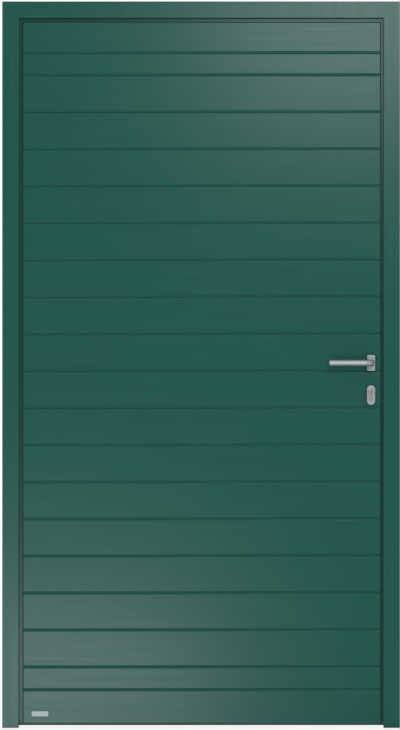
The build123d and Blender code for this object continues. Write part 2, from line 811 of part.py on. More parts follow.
furniture_openings = {
    "rose": Pos(spindle_x, lock_height) * Circle(lever_radius + lever_fit),
    "escutcheon": cylinder_outline(cylinder_fit),
}


def cover_shell(kind):
    """The outer cover, lying on the leaf's outside face, hollow towards the leaf."""
    outer_y = skin_front_y - rose_thickness
    shell = along_y(furniture_outline(kind, 0), outer_y, skin_front_y)
    shell = fillet(shell.edges().group_by(Axis.Y)[0], escutcheon_edge)
    hollow = along_y(furniture_outline(kind, rose_wall), outer_y + rose_wall, skin_front_y + 1)
    opening = along_y(furniture_openings[kind], outer_y - 1, skin_front_y + 1)
    return shell - hollow - opening


def cover_base(kind):
    """The flat base inside a cover."""
    outline = furniture_outline(kind, rose_wall + base_fit) - furniture_openings[kind]
    return along_y(outline, skin_front_y - base_thickness, skin_front_y) - furniture_holes


def inside_of(solid):
    """The same piece on the leaf's inside face."""
    middle = (skin_front_y + leaf_back_y) / 2
    return mirror(solid, about=Plane.XZ.offset(-middle))


parts["outer_rose"] = cover_shell("rose")
parts["inner_rose"] = inside_of(parts["outer_rose"])
parts["outer_escutcheon"] = cover_shell("escutcheon")
parts["inner_escutcheon"] = inside_of(parts["outer_escutcheon"])
bases = [cover_base("rose"), cover_base("escutcheon")]
parts["furniture_bases"] = Compound(bases + [inside_of(base) for base in bases])
parts["furniture_screws"] = Compound(furniture_screws(screw))


# Levers

def lever():
    """The outer lever: a round bar bent once, with a square socket and a hole for its grub screw."""
    start_y = skin_front_y - neck_start
    grip_y = skin_front_y - lever_reach
    bend_y = grip_y + lever_bend
    tip_x = spindle_x - lever_length
    neck_line = Line((spindle_x, start_y, lock_height), (spindle_x, bend_y, lock_height))
    bend = RadiusArc(
        (spindle_x, bend_y, lock_height),
        (spindle_x - lever_bend, grip_y, lock_height),
        lever_bend,
    )
    grip_line = Line((spindle_x - lever_bend, grip_y, lock_height), (tip_x, grip_y, lock_height))
    profile = Plane((spindle_x, start_y, lock_height), z_dir=(0, -1, 0)) * Circle(lever_radius)
    bar = sweep(profile, path=Wire([neck_line.edge(), bend.edge(), grip_line.edge()]))
    bar = fillet(bar.edges().filter_by(GeomType.CIRCLE).group_by(Axis.X)[0], lever_tip_radius)
    socket_y = start_y - socket_depth
    bar -= along_y(square_hole(spindle_size + 2 * spindle_fit), socket_y, start_y + 1)
    return bar - grub_place() * Cylinder(grub_radius + screw_fit, 2 * grub_hole_depth)


def grub_place():
    """The middle of the lever neck's lower side, where the grub screw's hole begins."""
    grub_y = skin_front_y - rose_thickness - grub_in
    return Pos(spindle_x, grub_y, lock_height - lever_radius)


grub_screw = grub_place() * Pos(0, 0, grub_length / 2) * Cylinder(grub_radius, grub_length)
parts["outer_lever"] = lever()
parts["inner_lever"] = inside_of(parts["outer_lever"])
parts["lever_grub_screws"] = Compound([grub_screw, inside_of(grub_screw)])
spindle_end = neck_start + socket_depth - 1
spindle_y = (skin_front_y - spindle_end, leaf_back_y + spindle_end)
parts["spindle"] = along_y(square_hole(spindle_size), *spindle_y)

os.makedirs("parts", exist_ok=True)
for name, shape in parts.items():
    export_step(shape, f"parts/{name}.step")
    print(name, len(shape.solids()), round(shape.volume))
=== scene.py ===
import bpy
import bmesh
import json
from math import cos, pi, radians, sin, sqrt
from mathutils import Matrix, Vector


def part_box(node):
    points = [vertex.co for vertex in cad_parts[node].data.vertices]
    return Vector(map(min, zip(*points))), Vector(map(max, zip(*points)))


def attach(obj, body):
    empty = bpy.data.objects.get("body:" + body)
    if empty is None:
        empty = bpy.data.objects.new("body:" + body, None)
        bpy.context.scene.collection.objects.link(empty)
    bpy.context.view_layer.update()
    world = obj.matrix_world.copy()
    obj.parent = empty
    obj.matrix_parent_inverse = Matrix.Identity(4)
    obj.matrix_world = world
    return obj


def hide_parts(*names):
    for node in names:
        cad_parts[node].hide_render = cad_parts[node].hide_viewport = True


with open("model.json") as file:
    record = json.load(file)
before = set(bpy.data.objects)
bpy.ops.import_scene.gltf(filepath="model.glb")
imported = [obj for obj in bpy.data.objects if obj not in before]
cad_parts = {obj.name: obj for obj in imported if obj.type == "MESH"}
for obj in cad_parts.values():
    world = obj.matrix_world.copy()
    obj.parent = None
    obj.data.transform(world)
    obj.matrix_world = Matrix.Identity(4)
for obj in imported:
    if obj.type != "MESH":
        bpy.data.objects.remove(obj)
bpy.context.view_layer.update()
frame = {"nodes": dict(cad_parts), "record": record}
mm = 0.001
print("frame loaded:", len(frame["nodes"]), "nodes")


# camera and framing

view = {
    "centreX": -3.3 * mm,      # the photo's middle lies a little left of the door's
    "centreZ": 1049 * mm,
    "seenHeight": 2110 * mm,   # what the picture's height takes in at the frame's front
    "distance": 10.0,
    "sensor": 36.0,
    "clipEnd": 200.0,
}
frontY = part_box("frame_head")[0].y
camera = bpy.data.objects.new("doorCamera", bpy.data.cameras.new("doorCamera"))
bpy.context.collection.objects.link(camera)
bpy.context.scene.camera = camera
camera.location = (view["centreX"], frontY - view["distance"], view["centreZ"])
camera.rotation_euler = (pi / 2, 0, 0)
camera.data.sensor_width = view["sensor"]
camera.data.lens = view["sensor"] * view["distance"] / view["seenHeight"]
camera.data.clip_end = view["clipEnd"]
print("camera set, lens", round(camera.data.lens), "mm")


# materials

def linear(hexColour):     # sRGB hex to the linear colour that a shader takes
    channels = [int(hexColour[i:i + 2], 16) / 255 for i in (1, 3, 5)]
    return (*[c / 12.92 if c <= 0.04045 else ((c + 0.055) / 1.055) ** 2.4 for c in channels], 1)


def addNode(tree, kind, inputs, **settings):     # a node with its settings, and its values or links
    node = tree.nodes.new(kind)
    for key, value in settings.items():
        setattr(node, key, value)
    for socket, value in inputs.items():
        if isinstance(value, bpy.types.NodeSocket):
            tree.links.new(value, node.inputs[socket])
        else:
            node.inputs[socket].default_value = value
    return node


def newFinish(name, shader):     # a material with its principled shader's own sockets set
    material = bpy.data.materials.new(name)
    material.use_nodes = True
    tree = material.node_tree
    principled = tree.nodes["Principled BSDF"]
    for socket, value in shader.items():
        principled.inputs[socket].default_value = value
    return material, tree, principled


# the part of a pattern's values that is stretched over a finish's whole range
paintSpan = {"From Min": 0.35, "From Max": 0.65}     # two patterns mixed
grainSpan = {"From Min": 0.3, "From Max": 0.7}       # one pattern


def glossRange(look):     # roughness of the smoothest and of the dullest spots
    return {
        "To Min": look["roughness"] - look["spread"],
        "To Max": look["roughness"] + look["spread"],
    }


def paintFinish(name, look):
    # polyester paint on metal: deep green, satin, its reflections broken up by a fine texture, with
    # painted shade in its narrow gaps and grooves
    material, tree, principled = newFinish(name, {
        "Roughness": look["roughness"],
        "Specular IOR Level": look["specular"],
        "IOR": 1.5,
    })
    place = addNode(tree, "ShaderNodeTexCoord", {})
    stretch = addNode(tree, "ShaderNodeMapping", {
        "Vector": place.outputs["Object"],
        "Scale": tuple(1 / size for size in look["grainSize"]),
    })
    grain = addNode(tree, "ShaderNodeTexNoise", {
        "Vector": stretch.outputs[0], "Scale": 1.0, "Detail": 3.0, "Roughness": 0.6,
    })
    streak = addNode(tree, "ShaderNodeMapping", {
        "Vector": place.outputs["Object"],
        "Scale": tuple(1 / size for size in look["streakSize"]),
    })
    streaks = addNode(tree, "ShaderNodeTexNoise", {
        "Vector": streak.outputs[0], "Scale": 1.0, "Detail": 2.0, "Roughness": 0.5,
    })
    both = addNode(tree, "ShaderNodeMix", {
        "Factor": look["streakShare"], 2: grain.outputs["Fac"], 3: streaks.outputs["Fac"],
    }, data_type="FLOAT")
    tone = addNode(tree, "ShaderNodeMapRange", {"Value": both.outputs[0], **paintSpan})
    colour = addNode(tree, "ShaderNodeMix", {
        "Factor": tone.outputs[0], 6: linear(look["dark"]), 7: linear(look["light"]),
    }, data_type="RGBA")
    gloss = addNode(tree, "ShaderNodeMapRange", {
        "Value": both.outputs[0], **paintSpan, **glossRange(look),
    })
    bump = addNode(tree, "ShaderNodeBump", {
        "Height": both.outputs[0], "Strength": look["bump"], "Distance": look["depth"],
    })
    # painted shade: ambient occlusion darkens the base colour of narrow gaps and grooves towards
    # the recess colour, where shade falls
    openness = addNode(
        tree, "ShaderNodeAmbientOcclusion", {"Distance": look["paintedShadeReach"]}, samples=6,
    )
    paintedShadeMix = addNode(tree, "ShaderNodeMix", {
        "Factor": openness.outputs["AO"], 6: linear(look["recess"]), 7: colour.outputs[2],
    }, data_type="RGBA")
    tree.links.new(paintedShadeMix.outputs[2], principled.inputs["Base Color"])
    tree.links.new(gloss.outputs[0], principled.inputs["Roughness"])
    tree.links.new(bump.outputs[0], principled.inputs["Normal"])
    return material


# coil-coated sheet with an embossed wood grain: satin green with fine level streaks,
# drawn coarser than on real sheet so that they show
skinPaint = paintFinish("coilCoatedSteelGrained", {
    # recess: painted shade, the colour that the grooves and edge gaps are darkened towards
    "dark": "#074f45", "light": "#095349", "recess": "#053d35", "paintedShadeReach": 12 * mm,
    "roughness": 0.24, "spread": 0.03, "specular": 0.175,
    "grainSize": (160 * mm, 20 * mm, 2.2 * mm),
    "streakSize": (420 * mm, 40 * mm, 9 * mm), "streakShare": 0.3,
    "bump": 0.2, "depth": 0.05 * mm,
})
# powder coat on extruded aluminium: the same green, with a very fine orange peel
# and faint draw lines upwards
framePaint = paintFinish("powderCoatedAluminium", {
    # recess: painted shade, the colour that the gaps by the leaf are darkened towards
    "dark": "#074f45", "light": "#095349", "recess": "#03352e", "paintedShadeReach": 25 * mm,
    "roughness": 0.25, "spread": 0.03, "specular": 0.175,
    "grainSize": (1.5 * mm, 1.5 * mm, 1.8 * mm),
    "streakSize": (7 * mm, 7 * mm, 500 * mm), "streakShare": 0.5,
    "bump": 0.15, "depth": 0.03 * mm,
})


def metalFinish(name, look):
    # bare metal: bright, with fine brush or grit marks that spread its highlights
    material, tree, principled = newFinish(name, {
        "Base Color": linear(look["colour"]),
        "Metallic": 1.0,
        "Roughness": look["roughness"],
    })
    place = addNode(tree, "ShaderNodeTexCoord", {})
    stretch = addNode(tree, "ShaderNodeMapping", {
        "Vector": place.outputs["Object"],
        "Scale": tuple(1 / size for size in look["markSize"]),
    })
    marks = addNode(tree, "ShaderNodeTexNoise", {
        "Vector": stretch.outputs[0], "Scale": 1.0, "Detail": 4.0, "Roughness": 0.65,
    })
    gloss = addNode(tree, "ShaderNodeMapRange", {
        "Value": marks.outputs["Fac"], **grainSpan, **glossRange(look),
    })
    bump = addNode(tree, "ShaderNodeBump", {
        "Height": marks.outputs["Fac"], "Strength": look["bump"], "Distance": look["depth"],
    })
    tree.links.new(gloss.outputs[0], principled.inputs["Roughness"])
    tree.links.new(bump.outputs[0], principled.inputs["Normal"])
    return material


# satin stainless steel, brushed along the lever: soft pale grey with drawn-out highlights
satinSteel = metalFinish("stainlessSteelSatin", {
    "colour": "#929a9b", "roughness": 0.48, "spread": 0.06,
    "markSize": (8 * mm, 0.25 * mm, 0.25 * mm), "bump": 0.12, "depth": 0.02 * mm,
})
# the same steel, brushed upright, for plates and roses
satinPlate = metalFinish("stainlessSteelBrushedUpright", {
    "colour": "#7f8788", "roughness": 0.46, "spread": 0.06,
    "markSize": (0.25 * mm, 0.25 * mm, 8 * mm), "bump": 0.12, "depth": 0.02 * mm,
})
# bright zinc plate on steel screws and lock parts: cool, slightly cloudy
zincSteel = metalFinish("steelZincPlated", {
    "colour": "#9a9ea3", "roughness": 0.36, "spread": 0.1,
    "markSize": (3 * mm, 3 * mm, 3 * mm), "bump": 0.08, "depth": 0.02 * mm,
})
# matt nickel on brass, as on a profile cylinder: warm grey, close grained
nickelBrass = metalFinish("brassNickelPlated", {
    "colour": "#7a7873", "roughness": 0.42, "spread": 0.05,
    "markSize": (0.4 * mm, 0.4 * mm, 0.4 * mm), "bump": 0.06, "depth": 0.01 * mm,
})
# mill-finish aluminium extrusion: pale, with long draw lines
rawAluminium = metalFinish("aluminiumExtruded", {
    "colour": "#a6a8aa", "roughness": 0.42, "spread": 0.06,
    "markSize": (30 * mm, 0.5 * mm, 0.5 * mm), "bump": 0.1, "depth": 0.02 * mm,
})
# the same extrusion anodised dark, for the profile under the leaf that shows
# at the foot of the side gaps
darkAluminium = metalFinish("aluminiumAnodisedDark", {
    "colour": "#3f4446", "roughness": 0.45, "spread": 0.05,
    "markSize": (30 * mm, 0.5 * mm, 0.5 * mm), "bump": 0.08, "depth": 0.02 * mm,
})


def softFinish(name, look):
    # moulded or extruded plastics: dark or pale, dull, with a fine grain
    material, tree, principled = newFinish(name, {
        "Roughness": look["roughness"],
        "Specular IOR Level": look["specular"],
        "IOR": look["ior"],
    })
    place = addNode(tree, "ShaderNodeTexCoord", {})
    stretch = addNode(tree, "ShaderNodeMapping", {
        "Vector": place.outputs["Object"],
        "Scale": tuple(1 / size for size in look["grainSize"]),
    })
    grain = addNode(tree, "ShaderNodeTexNoise", {
        "Vector": stretch.outputs[0], "Scale": 1.0, "Detail": 3.0, "Roughness": 0.6,
    })
    tone = addNode(tree, "ShaderNodeMapRange", {"Value": grain.outputs["Fac"], **grainSpan})
    colour = addNode(tree, "ShaderNodeMix", {
        "Factor": tone.outputs[0], 6: linear(look["dark"]), 7: linear(look["light"]),
    }, data_type="RGBA")
    bump = addNode(tree, "ShaderNodeBump", {
        "Height": grain.outputs["Fac"], "Strength": look["bump"], "Distance": look["depth"],
    })
    tree.links.new(colour.outputs[2], principled.inputs["Base Color"])
    tree.links.new(bump.outputs[0], principled.inputs["Normal"])
    return material


# extruded EPDM rubber: near black, dull, with a faint dusty bloom
sealRubber = softFinish("rubberEpdmExtruded", {
    "dark": "#17181a", "light": "#232427", "roughness": 0.62, "specular": 0.35, "ior": 1.5,
    "grainSize": (4 * mm, 4 * mm, 4 * mm), "bump": 0.15, "depth": 0.05 * mm,
})
# moulded polyamide: black, slightly silky
blackNylon = softFinish("polyamideMoulded", {
    "dark": "#161616", "light": "#1f1f1f", "roughness": 0.45, "specular": 0.45, "ior": 1.53,
    "grainSize": (0.6 * mm, 0.6 * mm, 0.6 * mm), "bump": 0.2, "depth": 0.03 * mm,
})
# rigid polyurethane foam: pale yellow, dull, open pores
rigidFoam = softFinish("polyurethaneFoam", {
    "dark": "#c9ba84", "light": "#ddd09f", "roughness": 0.9, "specular": 0.2, "ior": 1.45,
    "grainSize": (1.2 * mm, 1.2 * mm, 1.2 * mm), "bump": 0.5, "depth": 0.3 * mm,
})
print("materials made:", len(bpy.data.materials))


# helpers for pieces

# angles are in degrees
smoothing = {"sharpAngle": 35, "bevelAngle": 30, "bevelSteps": 2, "faceWeight": 90}
cadClean = {"weld": 0.001 * mm, "flatAngle": 0.5}
facing, squareOn = 0.9, 0.99     # least part of a normal along the axis that its face looks along


def finishPiece(
    name, bm, material, body, replaced=(), smoothAngle=smoothing["sharpAngle"],
):
    # a bmesh becomes a piece that rides on its body and stands for CAD nodes
    mesh = bpy.data.meshes.new(name)
    bm.to_mesh(mesh)
    bm.free()
    mesh.shade_smooth()
    mesh.set_sharp_from_angle(angle=radians(smoothAngle))
    mesh.materials.append(material)
    piece = bpy.data.objects.new(name, mesh)
    bpy.context.collection.objects.link(piece)
    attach(piece, body)
    if replaced:
        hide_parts(*replaced)
    return piece


def evenNormals(piece):     # large flat faces keep flat shading beside their rounded edges
    modifier = piece.modifiers.new("evenNormals", "WEIGHTED_NORMAL")
    modifier.mode = "FACE_AREA"
    modifier.weight = smoothing["faceWeight"]
    modifier.keep_sharp = True


def roundEdges(piece, width):     # small bevels along a piece's sharp edges
    modifier = piece.modifiers.new("roundEdges", "BEVEL")
    modifier.width = width
    modifier.segments = smoothing["bevelSteps"]
    modifier.limit_method = "ANGLE"
    modifier.angle_limit = radians(smoothing["bevelAngle"])
    modifier.use_clamp_overlap = True
    modifier.harden_normals = False


def mergedCopy(nodeName):     # a CAD node's loose triangles as one clean mesh
    bm = bmesh.new()
    bm.from_mesh(frame["nodes"][nodeName].data)
    bmesh.ops.remove_doubles(bm, verts=bm.verts, dist=cadClean["weld"])
    bmesh.ops.dissolve_limit(
        bm, angle_limit=radians(cadClean["flatAngle"]), verts=bm.verts, edges=bm.edges,
    )
    return bm


bodies = frame["record"]["behaviour"]["bodies"]
bodyOf = {node: body for body, members in bodies.items() for node in members}
slotOf = {part["node"]: part["material_slot"] for part in frame["record"]["subparts"]}


def ringOf(grown):     # the verts and the edges of what an extrude or a spin has just made
    verts = [g for g in grown if isinstance(g, bmesh.types.BMVert)]
    edges = [g for g in grown if isinstance(g, bmesh.types.BMEdge)]
    return verts, edges


def softened(nodeName, material, width):
    # stands for a CAD node: the same shape with its edges eased
    piece = finishPiece(
        nodeName + "_finished", mergedCopy(nodeName), material,
        bodyOf[nodeName], (nodeName,),
    )
    roundEdges(piece, width)
    evenNormals(piece)


# leaf skin

skinLook = {
    "sheet": 1.0 * mm,
    "returnDepth": 12 * mm,
    "arris": 3.6 * mm,
    "arrisSteps": 6,
    "spindleOpening": 22 * mm,
    "cylinderClearance": 0.4 * mm,
    "grooveDepth": 3.0 * mm,
    "grooveRadius": 2.4 * mm,      # of the shoulders
    "bottomRadius": 3.0 * mm,      # rounder than the solid's, as pressed sheet comes out
    "arcSteps": 5,
    "boards": [89, 64] + [107] * 16 + [66, 99],     # from the top, between groove centres, in mm
    "sharpAngle": 60,
    "cutTolerance": 1e-7,
    "openingTolerance": 1e-6,
    "backMargin": 0.01 * mm,       # keeps the back edge of the returns straight
}


def grooveProfile():     # places across a groove and how deep the sheet lies there
    radius, bottom = skinLook["grooveRadius"], skinLook["bottomRadius"]
    apex = skinLook["grooveDepth"] + radius * (sqrt(2) - 1)
    steps = skinLook["arcSteps"]
    half = []
    for i in range(steps + 1):     # bottom arc, from the middle outwards
        turn = radians(45) * i / steps
        half.append((bottom * sin(turn), apex - bottom * (sqrt(2) - cos(turn))))
    for i in range(steps + 1):     # shoulder arc, up to the flat face
        turn = radians(45) * (1 - i / steps)
        half.append((apex + radius * (sqrt(2) - 1) - radius * sin(turn), radius * (1 - cos(turn))))
    return half


def cutOpening(bm, spanX, spanZ):
    # a rectangular hole in the flat front, hidden behind the furniture
    def boardFaces():
        return [
            f for f in bm.faces if f.normal.y < -squareOn
            and min(v.co.x for v in f.verts) < spanX[1] and max(v.co.x for v in f.verts) > spanX[0]
            and min(v.co.z for v in f.verts) < spanZ[1] and max(v.co.z for v in f.verts) > spanZ[0]
        ]
    bm.normal_update()
    for place, normal in (
        ((spanX[0], 0, 0), (1, 0, 0)), ((spanX[1], 0, 0), (1, 0, 0)),
        ((0, 0, spanZ[0]), (0, 0, 1)), ((0, 0, spanZ[1]), (0, 0, 1)),
    ):
        cut = boardFaces()
        edges = dict.fromkeys(e for f in cut for e in f.edges)
        verts = dict.fromkeys(v for f in cut for v in f.verts)
        bmesh.ops.bisect_plane(
            bm, geom=[*cut, *edges, *verts], dist=skinLook["openingTolerance"],
            plane_co=place, plane_no=normal,
        )
    inside = []
    for face in boardFaces():
        middle = face.calc_center_median()
        if spanX[0] < middle.x < spanX[1] and spanZ[0] < middle.z < spanZ[1]:
            inside.append(face)
    bmesh.ops.delete(bm, geom=inside, context="FACES")


def makeSkin():
    # a shallow box open at the back, with its edges rounded and the grooves pressed in
    low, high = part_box("outer_skin")
    bm = bmesh.new()
    bmesh.ops.create_cube(bm, size=1)
    size = (high.x - low.x, skinLook["returnDepth"], high.z - low.z)
    middle = ((low.x + high.x) / 2, low.y + skinLook["returnDepth"] / 2, (low.z + high.z) / 2)
    bmesh.ops.scale(bm, vec=size, verts=bm.verts)
    bmesh.ops.translate(bm, vec=middle, verts=bm.verts)
    backFaces = [f for f in bm.faces if f.normal.y > facing]
    bmesh.ops.delete(bm, geom=backFaces, context="FACES_ONLY")
    nearFront = low.y + skinLook["sheet"]
    arrises = [e for e in bm.edges if all(v.co.y < nearFront for v in e.verts)]
    bmesh.ops.bevel(
        bm, geom=arrises, offset=skinLook["arris"], offset_type="OFFSET", affect="EDGES",
        segments=skinLook["arrisSteps"], profile=0.5, material=-1,
    )
    profile = grooveProfile()
    levels = sorted({round(side * away, 7) for away, _ in profile for side in (-1, 1)})
    reach = max(levels)
    nearBack = low.y + skinLook["returnDepth"] - skinLook["backMargin"]
    centre = high.z
    for board in skinLook["boards"][:-1]:
        centre -= board * mm
        for level in levels:
            bmesh.ops.bisect_plane(
                bm, geom=bm.verts[:] + bm.edges[:] + bm.faces[:], dist=skinLook["cutTolerance"],
                plane_co=(0, 0, centre + level), plane_no=(0, 0, 1),
            )
        for vert in bm.verts:     # the groove is pressed in, round the arris too
            away = abs(vert.co.z - centre)
            if away < reach and vert.co.y < nearBack:
                vert.co.y += min(profile, key=lambda step: abs(step[0] - away))[1]
    spindleBox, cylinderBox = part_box("spindle"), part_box("cylinder_body")
    half = skinLook["spindleOpening"] / 2
    for box, spare in ((spindleBox, None), (cylinderBox, skinLook["cylinderClearance"])):
        centreX, centreZ = (box[0].x + box[1].x) / 2, (box[0].z + box[1].z) / 2
        halfX = half if spare is None else centreX - box[0].x + spare
        halfZ = half if spare is None else centreZ - box[0].z + spare
        cutOpening(bm, (centreX - halfX, centreX + halfX), (centreZ - halfZ, centreZ + halfZ))
    bmesh.ops.recalc_face_normals(bm, faces=bm.faces)
    skin = finishPiece(
        "leaf_skin", bm, skinPaint, "leaf", ("outer_skin",),
        smoothAngle=skinLook["sharpAngle"],
    )
    wall = skin.modifiers.new("sheetThickness", "SOLIDIFY")
    wall.thickness = skinLook["sheet"]
    wall.offset = -1
    evenNormals(skin)


makeSkin()
print("leaf skin made")


# frame, leaf frame, beads and inner skin keep their CAD mesh;
# hinges, plates, roses, escutcheons, bolts, cylinder and follower get finer edges

easedEdges = {
    "hinge": 0.5 * mm,
    "plate": 0.35 * mm,
    "furniture": 0.3 * mm,
    "cylinder": 0.2 * mm,
}


def setFinish(nodeName, material):     # a CAD node keeps its mesh and has this material alone
    materials = frame["nodes"][nodeName].data.materials
    materials.clear()
    materials.append(material)


for nodeName in (
    "hinge_jamb", "lock_jamb", "frame_head", "hinge_stile", "lock_stile", "top_rail", "bottom_rail",
    "hinge_side_bead", "lock_side_bead", "top_bead", "bottom_bead", "inner_skin",
):
    setFinish(nodeName, framePaint)
hingeWings = [n for n in frame["nodes"] if "hinge_frame_wing" in n or "hinge_leaf_wing" in n]
for nodeNames, material, edge in (
    (hingeWings, framePaint, "hinge"),
    (("lower_hinge_pin", "middle_hinge_pin", "upper_hinge_pin"), satinSteel, "furniture"),
    (("strike_plate", "lock_forend"), satinPlate, "plate"),
    (("outer_rose", "inner_rose", "outer_escutcheon", "inner_escutcheon"), satinPlate, "furniture"),
    (("latch_bolt", "deadbolt"), nickelBrass, "plate"),
    (
        ("cylinder_body", "outer_plug", "inner_plug", "lock_cam", "follower"),
        nickelBrass, "cylinder",
    ),
):
    for nodeName in nodeNames:
        softened(nodeName, material, easedEdges[edge])

plainFinishes = {     # by the record's slot names
    "black_rubber": sealRubber,
    "black_plastic": blackNylon,
    "rigid_foam": rigidFoam,
    "zinc_steel": zincSteel,
    "raw_aluminium": rawAluminium,
}
for nodeName, slotName in slotOf.items():
    if slotName in plainFinishes:
        setFinish(nodeName, plainFinishes[slotName])
setFinish("bottom_seal_carrier", darkAluminium)
print("CAD nodes finished")


# levers

leverLook = {
    "radius": 9.25 * mm,
    "bend": 20 * mm,
    "sides": 48,
    "bendSteps": 16,
    "tipRadius": 3 * mm,
    "tipSteps": 6,
    "sharpAngle": 50,
}


def makeLever(nodeName, side):     # side is -1 outside, 1 inside
    low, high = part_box(nodeName)
    radius, bend = leverLook["radius"], leverLook["bend"]
    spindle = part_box("spindle")
    spindleX = (spindle[0].x + spindle[1].x) / 2
    axisZ = (spindle[0].z + spindle[1].z) / 2
    startY = high.y if side < 0 else low.y
    gripY = (low.y + radius) if side < 0 else (high.y - radius)
    bendY = gripY - side * bend
    bm = bmesh.new()
    ring = bmesh.ops.create_circle(bm, segments=leverLook["sides"], radius=radius)["verts"]
    bmesh.ops.rotate(bm, verts=ring, matrix=Matrix.Rotation(pi / 2, 3, "X"), cent=(0, 0, 0))
    bmesh.ops.translate(bm, vec=(spindleX, startY, axisZ), verts=ring)
    ring, edges = ringOf(bmesh.ops.extrude_edge_only(bm, edges=bm.edges[:])["geom"])
    bmesh.ops.translate(bm, vec=(0, bendY - startY, 0), verts=ring)
    spun = bmesh.ops.spin(
        bm, geom=ring + edges, cent=(spindleX - bend, bendY, axisZ), axis=(0, 0, side),
        angle=pi / 2, steps=leverLook["bendSteps"], use_merge=False,
    )
    ring, edges = ringOf(spun["geom_last"])
    tip = leverLook["tipRadius"]
    tipCentre = low.x + tip
    gripStart = sum(v.co.x for v in ring) / len(ring)
    stops = [(tipCentre, radius)]
    for i in range(1, leverLook["tipSteps"] + 1):
        turn = pi / 2 * i / leverLook["tipSteps"]
        stops.append((tipCentre - tip * sin(turn), radius - tip * (1 - cos(turn))))
    lastX, lastRadius = gripStart, radius
    for x, ringRadius in stops:
        ring, edges = ringOf(bmesh.ops.extrude_edge_only(bm, edges=edges)["geom"])
        bmesh.ops.translate(bm, vec=(x - lastX, 0, 0), verts=ring)
        ratio = ringRadius / lastRadius
        bmesh.ops.scale(
            bm, vec=(1, ratio, ratio), verts=ring, space=Matrix.Translation((0, -gripY, -axisZ)),
        )
        lastX, lastRadius = x, ringRadius
    bmesh.ops.contextual_create(bm, geom=edges)
    bmesh.ops.holes_fill(bm, edges=bm.edges)     # the neck's open end
    bmesh.ops.recalc_face_normals(bm, faces=bm.faces)
    piece = finishPiece(
        nodeName + "_smooth", bm, satinSteel, "handle", (nodeName,),
        smoothAngle=leverLook["sharpAngle"],
    )
    evenNormals(piece)


makeLever("outer_lever", -1)
makeLever("inner_lever", 1)
print("levers made")


# screws with a six-lobe recess

screwLook = {
    "sides": 36,
    "lobes": 6,
    "lobeDepth": 0.14,       # of the recess's radius
    "recess": 0.5,           # this and the next two of the head's radius
    "recessDepth": 0.35,
    "coneDepth": 0.5,
}


def addScrew(bm, place, axis, headRadius, shankRadius, length):
    # a countersunk screw, grown ring by ring from its recess:
    # its head at place, its shank along axis
    recess = headRadius * screwLook["recess"]
    ring = bmesh.ops.create_circle(bm, segments=screwLook["sides"], radius=recess)["verts"]
    for vert in ring:
        turn = Vector((vert.co.x, vert.co.y)).angle_signed(Vector((1, 0)), 0)
        vert.co *= 1 + screwLook["lobeDepth"] * cos(screwLook["lobes"] * turn)
        vert.co.z = -headRadius * screwLook["recessDepth"]
    edges = list(dict.fromkeys(e for v in ring for e in v.link_edges))
    bmesh.ops.contextual_create(bm, geom=edges)
    verts = list(ring)
    coneEnd = -headRadius * screwLook["coneDepth"]
    for radius, z in ((None, 0), (headRadius, 0), (shankRadius, coneEnd), (shankRadius, -length)):
        ring, edges = ringOf(bmesh.ops.extrude_edge_only(bm, edges=edges)["geom"])
        edges = [e for e in edges if e.is_boundary]
        for vert in ring:
            flat = Vector((vert.co.x, vert.co.y, 0))
            vert.co = flat if radius is None else flat.normalized() * radius     # None: lobed
            vert.co.z = z
        verts += ring
    bmesh.ops.contextual_create(bm, geom=edges)
    turn = Vector((0, 0, -1)).rotation_difference(Vector(axis)).to_matrix().to_4x4()
    bmesh.ops.transform(bm, matrix=Matrix.Translation(place) @ turn, verts=verts)


def makeScrews(nodeName, places, axes, headRadius, shankRadius, length, material):
    bm = bmesh.new()
    for place, axis in zip(places, axes):
        single = bmesh.new()
        addScrew(single, place, axis, headRadius, shankRadius, length)
        mesh = bpy.data.meshes.new("oneScrew")
        single.to_mesh(mesh)
        single.free()
        bm.from_mesh(mesh)
        bpy.data.meshes.remove(mesh)
    bmesh.ops.recalc_face_normals(bm, faces=bm.faces)
    piece = finishPiece(
        nodeName + "_lobed", bm, material, bodyOf[nodeName], (nodeName,),
    )
    evenNormals(piece)


hingeScrews = {"spacing": 40 * mm, "head": 4.75 * mm, "shank": 2.5 * mm, "length": 15 * mm}
for nodeName, wingName in (
    ("frame_hinge_screws", "frame_wing"), ("leaf_hinge_screws", "leaf_wing"),
):
    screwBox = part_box(nodeName)
    places = []
    for level in ("lower", "middle", "upper"):
        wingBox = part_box(f"{level}_hinge_{wingName}")
        height = (wingBox[0].z + wingBox[1].z) / 2
        for row in (-1, 0, 1):
            x = (screwBox[0].x + screwBox[1].x) / 2
            places.append((x, screwBox[1].y, height + row * hingeScrews["spacing"]))
    makeScrews(
        nodeName, places, [(0, -1, 0)] * len(places), hingeScrews["head"], hingeScrews["shank"],
        hingeScrews["length"], zincSteel,
    )
plateScrews = {"head": 3.8 * mm, "shank": 2.0 * mm, "length": 15 * mm}
for nodeName, direction in (("forend_screws", -1), ("strike_screws", 1)):
    low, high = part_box(nodeName)
    x = high.x if direction < 0 else low.x
    y = (low.y + high.y) / 2
    places = [(x, y, low.z + plateScrews["head"]), (x, y, high.z - plateScrews["head"])]
    makeScrews(
        nodeName, places, [(direction, 0, 0)] * 2, plateScrews["head"], plateScrews["shank"],
        plateScrews["length"], zincSteel,
    )
cylinderScrew = {"shank": 2.5 * mm}     # its head and length are its node's
low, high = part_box("cylinder_screw")
makeScrews(
    "cylinder_screw", [(high.x, (low.y + high.y) / 2, (low.z + high.z) / 2)], [(-1, 0, 0)],
    (high.y - low.y) / 2, cylinderScrew["shank"], high.x - low.x, zincSteel,
)
print("screws made")


# small blank plate at the leaf's lower left

plateLook = {
    "centreX": -466 * mm,
    "centreZ": 40.5 * mm,
    "width": 48 * mm,
    "height": 15 * mm,
    "thickness": 1.2 * mm,
    "corner": 2.0 * mm,
    "cornerSteps": 6,
    "rim": 0.9 * mm,
    "sunk": 0.25 * mm,       # how far its face lies behind the rim
    "edge": 0.2 * mm,
}


